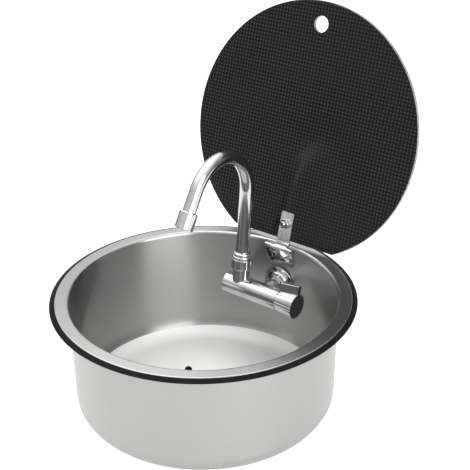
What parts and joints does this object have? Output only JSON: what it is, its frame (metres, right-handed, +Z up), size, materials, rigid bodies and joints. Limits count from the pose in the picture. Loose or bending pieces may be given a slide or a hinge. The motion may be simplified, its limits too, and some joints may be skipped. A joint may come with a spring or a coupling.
{
  "type": "hand sink",
  "caption": "Round steel drop-in hand sink with a hinged black glass lid and a chrome tap that folds down inside the bowl.",
  "frame": {"origin": "centre of the bowl in the plane of the worktop, on which the rim's rubber ring rests", "axes": "+Z up out of the worktop, +Y from the bowl's centre to the lid's hinge, +X along the hinge towards the tap's knob"},
  "size_m": [0.351, 0.4181, 0.4871],
  "materials": {
    "steel": "satin inside, bright at the rim",
    "glass": "black tempered glass, gloss",
    "rubber": "matt black",
    "chrome": "mirror polish",
    "fixings": "plain stainless, lightly polished",
    "brass": "machined",
    "black_plastic": "moulded, matt",
    "dark_plate": "gloss",
    "white_plastic": "moulded, natural"
  },
  "bodies": {
    "basin": {"sink_bowl": "steel", "rim_gasket": "rubber", "waste_flange": "chrome", "waste_top_seal": "rubber", "waste_bottom_seal": "rubber", "waste_nut": "black_plastic", "waste_tail": "black_plastic", "hinge_bracket": "chrome", "hinge_pin": "fixings", "hinge_screws": "fixings", "hinge_nuts": "fixings", "tap_body": "chrome", "pivot_orings": "rubber", "pivot_washer": "fixings", "pivot_screw": "fixings", "tap_flange": "chrome", "tap_wall_seal": "rubber", "tap_back_seal": "rubber", "tap_back_washer": "fixings", "tap_back_nut": "brass", "valve_cartridge": "brass", "cartridge_nut": "brass"},
    "lid": {"lid_glass": "glass", "lid_strap": "fixings", "lid_pad": "rubber", "lid_bolt": "chrome", "lid_nut": "chrome", "lid_nut_washer": "fixings", "lid_top_washer": "rubber"},
    "tap_head": {"swivel_head": "chrome", "head_end_cap": "chrome", "collar_nut": "chrome"},
    "spout": {"spout_tube": "chrome", "spout_spigot": "brass", "spout_orings": "rubber", "spout_ferrule": "chrome", "aerator_housing": "chrome", "aerator_insert": "white_plastic", "aerator_washer": "rubber"},
    "knob": {"tap_knob": "chrome", "knob_cap": "dark_plate", "knob_screw": "fixings", "valve_spindle": "brass"},
    "plug": {"drain_plug": "rubber"}
  },
  "joints": [
    {"name": "lid_hinge", "type": "hinge", "parent": "basin", "child": "lid", "pos_m": [0, 0.14834, -0.00095], "axis": [1, 0, 0], "range_deg": [0, 106.39]},
    {"name": "tap_fold", "type": "hinge", "parent": "basin", "child": "tap_head", "pos_m": [-0.0325, 0.1125, -0.0495], "axis": [1, 0, 0], "range_deg": [0, 78.45]},
    {"name": "spout_swivel", "type": "hinge", "parent": "tap_head", "child": "spout", "pos_m": [-0.0325, 0.1125, -0.0495], "axis": [0, 0.108, 0.9942], "range_deg": [-60, 60]},
    {"name": "knob_turn", "type": "hinge", "parent": "basin", "child": "knob", "pos_m": [0, 0.1125, -0.0495], "axis": [1, 0, 0], "range_deg": [0, 90]},
    {"name": "plug_lift", "type": "slide", "parent": "basin", "child": "plug", "axis": [0, 0, 1], "range_m": [0, 0.03]}
  ],
  "couplings": [
    {"joint": "tap_fold", "follows": "lid_hinge", "ratio": 0.73691}
  ]
}
